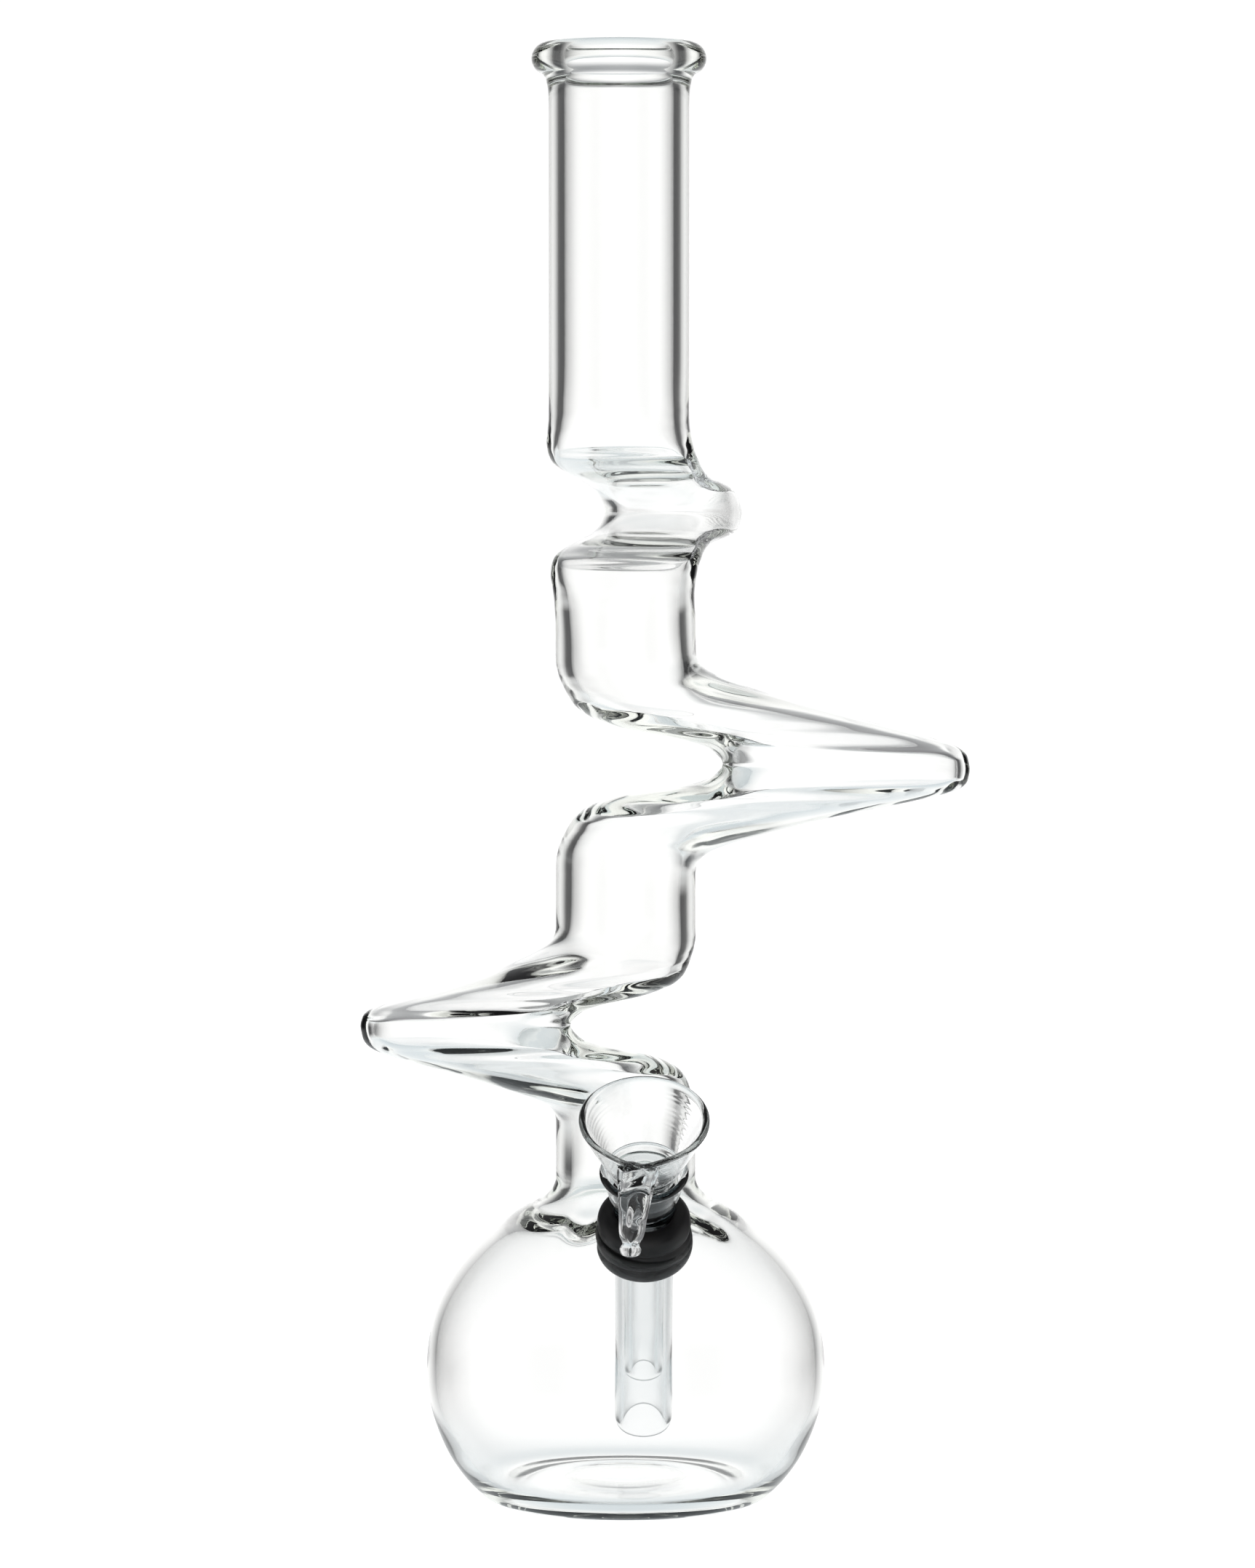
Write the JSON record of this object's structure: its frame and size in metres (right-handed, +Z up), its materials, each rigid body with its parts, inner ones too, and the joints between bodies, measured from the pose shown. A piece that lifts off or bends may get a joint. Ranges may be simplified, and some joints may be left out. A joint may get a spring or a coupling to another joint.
{
  "type": "glass water pipe",
  "caption": "Clear glass water pipe with a flat-bottomed round bubble, a neck with pointed kinks, a rolled mouthpiece and a slanted stem in a rubber grommet with a lift-out funnel slide.",
  "frame": {"origin": "centre of the bubble's resting ring, on the surface the object stands on", "axes": "+Z up along the neck, -Y towards the side where the stem comes out, +X to the right seen from the stem side"},
  "size_m": [0.1622, 0.1589, 0.3952],
  "materials": {
    "glass": "clear polished borosilicate",
    "rubber": "satin black moulded rubber"
  },
  "bodies": {
    "root": {"bubble_base": "glass", "bubble_shoulder": "glass", "bubble_wall": "glass", "kink_lower_over": "glass", "kink_lower_under": "glass", "kink_middle_over": "glass", "kink_middle_under": "glass", "kink_upper_over": "glass", "kink_upper_under": "glass", "mouth_lip": "glass", "mouth_tube": "glass", "neck_foot": "glass", "neck_lower": "glass", "neck_upper": "glass", "stem_grommet": "rubber"},
    "downstem": {"downstem_tube": "glass", "downstem_cup": "glass"},
    "slide_seal": {"slide_seal": "rubber"},
    "slide": {"slide_bowl": "glass", "slide_stem": "glass", "slide_handle": "glass"}
  },
  "joints": [
    {"name": "downstem_pull", "type": "slide", "parent": "root", "child": "downstem", "axis": [0, -0.5807, 0.8141], "range_m": [0, 0.08]},
    {"name": "slide_lift", "type": "slide", "parent": "downstem", "child": "slide_seal", "axis": [0, -0.5807, 0.8141], "range_m": [0, 0.06]},
    {"name": "slide_twist", "type": "hinge", "parent": "slide_seal", "child": "slide", "pos_m": [0.0049, 0, 0.0365], "axis": [0, -0.5807, 0.8141], "range_deg": [-90, 90]}
  ]
}
